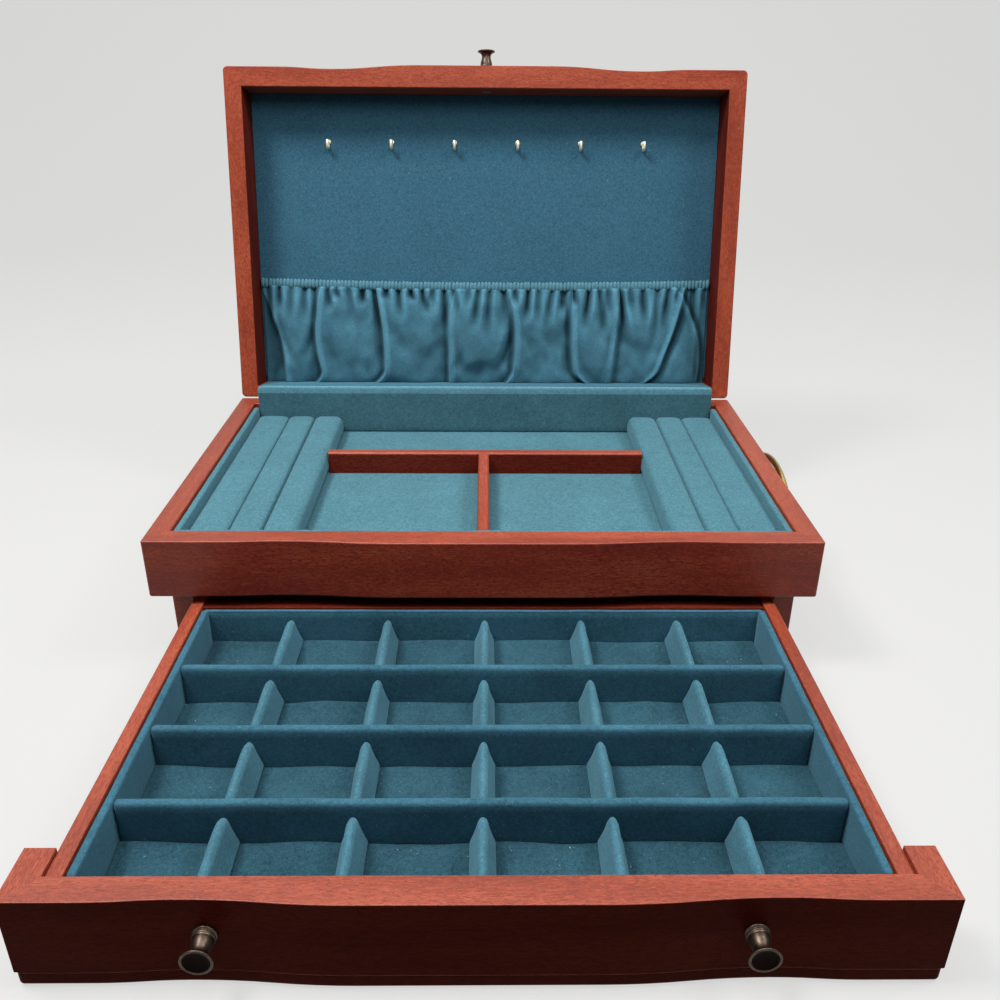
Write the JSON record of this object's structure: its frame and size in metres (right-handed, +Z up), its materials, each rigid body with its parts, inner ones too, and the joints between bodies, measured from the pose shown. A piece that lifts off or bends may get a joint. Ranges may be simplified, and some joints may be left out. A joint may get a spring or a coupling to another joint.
{
  "type": "jewellery chest",
  "caption": "Wooden jewellery chest with a serpentine front, lift-up lid, velvet-lined tray with ring rolls, a divided drawer and bail handles at the sides.",
  "frame": {"origin": "centre of the underside of the felt sheet the chest stands on", "axes": "+X to the right seen from the front, +Y towards the hinges at the back, +Z up"},
  "size_m": [0.3929, 0.5425, 0.3309],
  "materials": {
    "mahogany": "satin lacquer",
    "inner_board": "plain",
    "teal_velvet": "velvet",
    "teal_satin_velvet": "gathered velvet",
    "teal_ruffle": "ruched over elastic",
    "base_felt": "felt",
    "polished_brass": "polished",
    "dark_bronze": "antiqued",
    "steel": "plain"
  },
  "bodies": {
    "case": {"case_front_rail": "mahogany", "case_left_rail": "mahogany", "case_right_rail": "mahogany", "case_back_rail": "mahogany", "lower_left_side": "mahogany", "lower_right_side": "mahogany", "lower_back": "mahogany", "case_base_moulding": "mahogany", "case_floor": "inner_board", "felt_sheet": "base_felt", "tray_bottom_board": "inner_board", "drawer_guides": "inner_board", "drawer_kickers": "inner_board", "tray_lining": "teal_velvet", "tray_floor": "teal_velvet", "tray_rear_board": "teal_velvet", "ring_roll_left": "teal_velvet", "ring_roll_right": "teal_velvet", "tray_long_divider": "mahogany", "tray_short_divider": "mahogany", "hinge_case_leaves": "polished_brass", "hinge_case_screws": "polished_brass", "handle_posts_left": "polished_brass", "handle_posts_right": "polished_brass"},
    "lid": {"lid_front_rail": "mahogany", "lid_left_rail": "mahogany", "lid_right_rail": "mahogany", "lid_back_rail": "mahogany", "lid_top_panel": "mahogany", "lid_lining": "teal_velvet", "cup_hooks": "polished_brass", "lid_pocket": "teal_satin_velvet", "pocket_elastic": "teal_ruffle", "lid_knob": "dark_bronze", "lid_knob_screw": "steel", "hinge_lid_leaves": "polished_brass", "hinge_pins": "steel", "hinge_lid_screws": "polished_brass"},
    "drawer": {"drawer_front": "mahogany", "drawer_left_return": "mahogany", "drawer_right_return": "mahogany", "drawer_left_side": "mahogany", "drawer_right_side": "mahogany", "drawer_back": "mahogany", "drawer_bottom": "inner_board", "drawer_base_moulding": "mahogany", "insert_walls": "teal_velvet", "insert_long_dividers": "teal_velvet", "insert_short_dividers": "teal_velvet", "insert_floors": "teal_velvet", "drawer_knobs": "dark_bronze", "drawer_knob_screws": "steel"},
    "bail_right": {"bail_right": "polished_brass"},
    "bail_left": {"bail_left": "polished_brass"}
  },
  "joints": [
    {"name": "lid_hinge", "type": "hinge", "parent": "case", "child": "lid", "pos_m": [0, 0.1199, 0.0842], "axis": [1, 0, 0], "range_deg": [0, 101.6]},
    {"name": "drawer_slide", "type": "slide", "parent": "case", "child": "drawer", "axis": [0, 1, 0], "range_m": [0, 0.2097]},
    {"name": "right_bail_pivot", "type": "hinge", "parent": "case", "child": "bail_right", "pos_m": [0.1935, 0, 0.063], "axis": [0, 1, 0], "range_deg": [-8, 180]},
    {"name": "left_bail_pivot", "type": "hinge", "parent": "case", "child": "bail_left", "pos_m": [-0.1935, 0, 0.063], "axis": [0, 1, 0], "range_deg": [-4, 184]}
  ]
}
